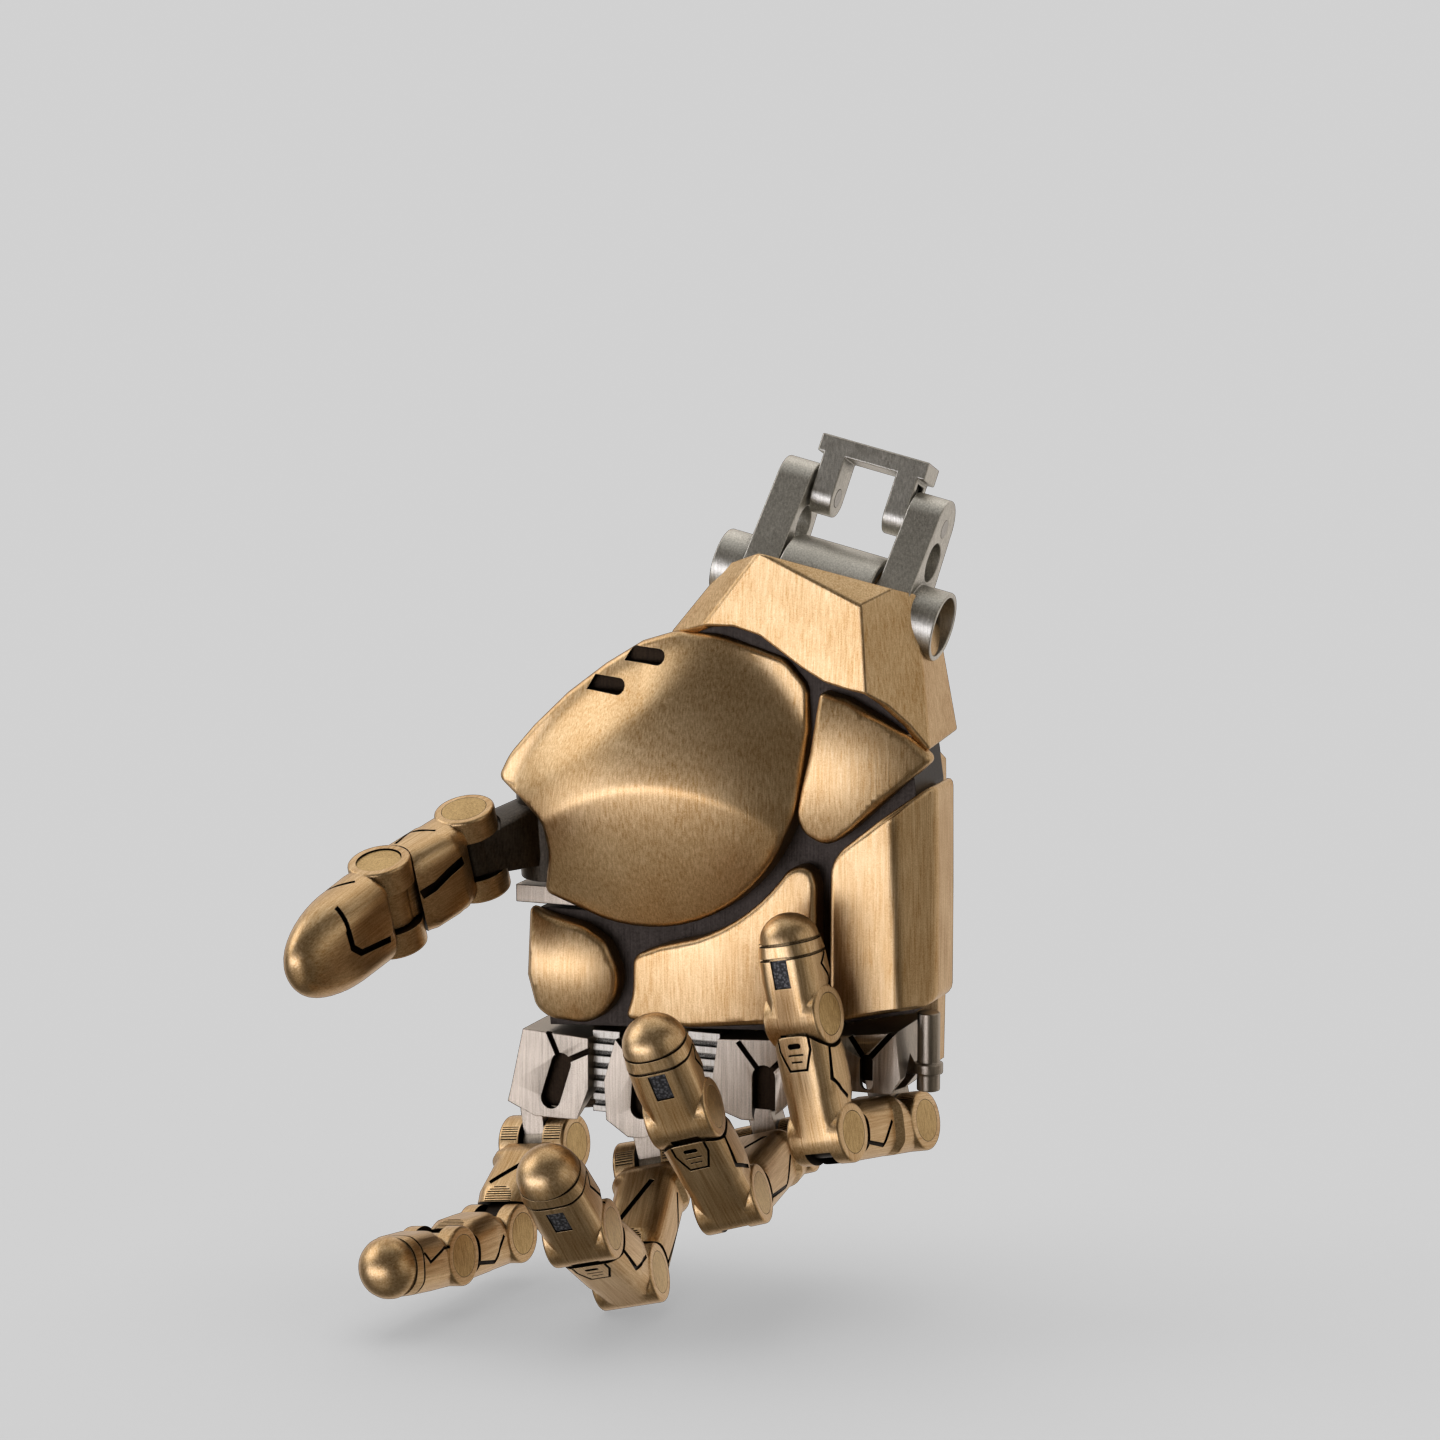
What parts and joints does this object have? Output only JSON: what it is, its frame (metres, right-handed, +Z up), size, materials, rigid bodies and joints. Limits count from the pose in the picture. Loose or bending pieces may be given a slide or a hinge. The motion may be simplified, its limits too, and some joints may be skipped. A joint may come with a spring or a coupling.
{
  "type": "prosthetic hand",
  "caption": "Right prosthetic hand of brass plates on a dark frame, with hinged wrist, thumb and fingers that stay where they are bent.",
  "frame": {"origin": "centre of the wrist tube's bore", "axes": "+Z up the palm from the fingers to the wrist, palm faces -Y, thumb side is -X"},
  "size_m": [0.1208, 0.0847, 0.1748],
  "materials": {
    "brushed_brass": "brushed brass with dark patina in its grooves",
    "oxidised_silver": "brushed nickel silver, blackened in its hollows",
    "bush_bronze": "turned bronze",
    "steel_pin": "ground steel",
    "black_frame": "blackened aluminium casting",
    "black_bronze": "blackened casting, rubbed at the edges",
    "grip_insert": "dark knurled insert"
  },
  "bodies": {
    "wrist_yoke": {"wrist_yoke": "oxidised_silver", "link_pins": "steel_pin"},
    "wrist_link": {"wrist_link": "oxidised_silver"},
    "palm": {"wrist_barrel": "oxidised_silver", "wrist_bushes": "bush_bronze", "palm_frame": "black_frame", "wrist_cuff": "brushed_brass", "thenar_plate": "brushed_brass", "ulnar_upper_plate": "brushed_brass", "ulnar_lower_plate": "brushed_brass", "palm_center_plate": "brushed_brass", "index_mound_plate": "brushed_brass", "dorsal_upper_plate": "brushed_brass", "dorsal_lower_plate": "brushed_brass", "plate_screws": "steel_pin", "thumb_bracket": "oxidised_silver", "knuckle_spacers": "black_frame", "ulnar_post": "oxidised_silver", "index_knuckle": "oxidised_silver", "middle_knuckle": "oxidised_silver", "ring_knuckle": "oxidised_silver", "little_knuckle": "oxidised_silver", "knuckle_pins": "brushed_brass", "thumb_base_pin": "steel_pin"},
    "thumb_base": {"thumb_base": "black_bronze", "thumb_knuckle_pin": "brushed_brass"},
    "thumb_proximal": {"thumb_proximal": "brushed_brass", "thumb_end_pin": "brushed_brass"},
    "thumb_distal": {"thumb_distal": "brushed_brass"},
    "index_proximal": {"index_proximal": "brushed_brass", "index_middle_pin": "brushed_brass"},
    "index_middle": {"index_middle": "brushed_brass", "index_end_pin": "brushed_brass"},
    "index_distal": {"index_distal": "brushed_brass", "index_window": "grip_insert"},
    "middle_proximal": {"middle_proximal": "brushed_brass", "middle_middle_pin": "brushed_brass"},
    "middle_middle": {"middle_middle": "brushed_brass", "middle_end_pin": "brushed_brass"},
    "middle_distal": {"middle_distal": "brushed_brass", "middle_window": "grip_insert"},
    "ring_proximal": {"ring_proximal": "brushed_brass", "ring_middle_pin": "brushed_brass"},
    "ring_middle": {"ring_middle": "brushed_brass", "ring_end_pin": "brushed_brass"},
    "ring_distal": {"ring_distal": "brushed_brass", "ring_window": "grip_insert"},
    "little_proximal": {"little_proximal": "brushed_brass", "little_middle_pin": "brushed_brass"},
    "little_middle": {"little_middle": "brushed_brass", "little_end_pin": "brushed_brass"},
    "little_distal": {"little_distal": "brushed_brass", "little_window": "grip_insert"}
  },
  "joints": [
    {"name": "wrist_hinge", "type": "hinge", "parent": "wrist_yoke", "child": "palm", "pos_m": [0, 0, 0], "axis": [0.9744, 0, -0.225], "range_deg": [-34, 28]},
    {"name": "link_hinge", "type": "hinge", "parent": "wrist_yoke", "child": "wrist_link", "pos_m": [0.00396, 0.00712, 0.01716], "axis": [0.9744, 0, -0.225], "range_deg": [-80, 80]},
    {"name": "index_knuckle_bend", "type": "hinge", "parent": "palm", "child": "index_proximal", "pos_m": [-0.0635, 0, -0.119], "axis": [-0.9848, 0.1035, -0.1392], "range_deg": [-60, 32]},
    {"name": "index_middle_bend", "type": "hinge", "parent": "index_proximal", "child": "index_middle", "pos_m": [-0.06408, -0.02345, -0.13237], "axis": [-0.9848, 0.1035, -0.1392], "range_deg": [-33, 59]},
    {"name": "index_end_bend", "type": "hinge", "parent": "index_middle", "child": "index_distal", "pos_m": [-0.0667, -0.04677, -0.13115], "axis": [-0.9848, 0.1035, -0.1392], "range_deg": [-4, 32]},
    {"name": "middle_knuckle_bend", "type": "hinge", "parent": "palm", "child": "middle_proximal", "pos_m": [-0.038, 0, -0.1215], "axis": [-0.969, -0.1018, -0.225], "range_deg": [-65, 27]},
    {"name": "middle_middle_bend", "type": "hinge", "parent": "middle_proximal", "child": "middle_middle", "pos_m": [-0.03138, -0.0312, -0.13591], "axis": [-0.969, -0.1018, -0.225], "range_deg": [-60, 30]},
    {"name": "middle_end_bend", "type": "hinge", "parent": "middle_middle", "child": "middle_distal", "pos_m": [-0.03248, -0.05273, -0.12138], "axis": [-0.969, -0.1018, -0.225], "range_deg": [-18, 16]},
    {"name": "ring_knuckle_bend", "type": "hinge", "parent": "palm", "child": "ring_proximal", "pos_m": [-0.012, 0, -0.1155], "axis": [-0.956, -0.1005, -0.2756], "range_deg": [-88, 6]},
    {"name": "ring_middle_bend", "type": "hinge", "parent": "ring_proximal", "child": "ring_middle", "pos_m": [-0.00801, -0.03475, -0.11667], "axis": [-0.956, -0.1005, -0.2756], "range_deg": [-59, 29]},
    {"name": "ring_end_bend", "type": "hinge", "parent": "ring_middle", "child": "ring_distal", "pos_m": [-0.01242, -0.04918, -0.09612], "axis": [-0.956, -0.1005, -0.2756], "range_deg": [-13, 15]},
    {"name": "little_knuckle_bend", "type": "hinge", "parent": "palm", "child": "little_proximal", "pos_m": [0.0135, 0, -0.1075], "axis": [-0.9686, 0.1361, -0.2079], "range_deg": [-98, 1]},
    {"name": "little_middle_bend", "type": "hinge", "parent": "little_proximal", "child": "little_middle", "pos_m": [0.00901, -0.02637, -0.10382], "axis": [-0.9686, 0.1361, -0.2079], "range_deg": [-80, 4]},
    {"name": "little_end_bend", "type": "hinge", "parent": "little_middle", "child": "little_distal", "pos_m": [0.00395, -0.0265, -0.08036], "axis": [-0.9686, 0.1361, -0.2079], "range_deg": [-2, 10]},
    {"name": "thumb_swing", "type": "hinge", "parent": "palm", "child": "thumb_base", "pos_m": [-0.061, -0.002, -0.051], "axis": [0, -0.1392, 0.9903], "range_deg": [-14, 12]},
    {"name": "thumb_knuckle_bend", "type": "hinge", "parent": "thumb_base", "child": "thumb_proximal", "pos_m": [-0.073, -0.014, -0.0545], "axis": [-0.0476, -0.3387, 0.9397], "range_deg": [-20, 35]},
    {"name": "thumb_end_bend", "type": "hinge", "parent": "thumb_proximal", "child": "thumb_distal", "pos_m": [-0.08257, -0.03455, -0.06239], "axis": [-0.0476, -0.3387, 0.9397], "range_deg": [-10, 50]}
  ]
}
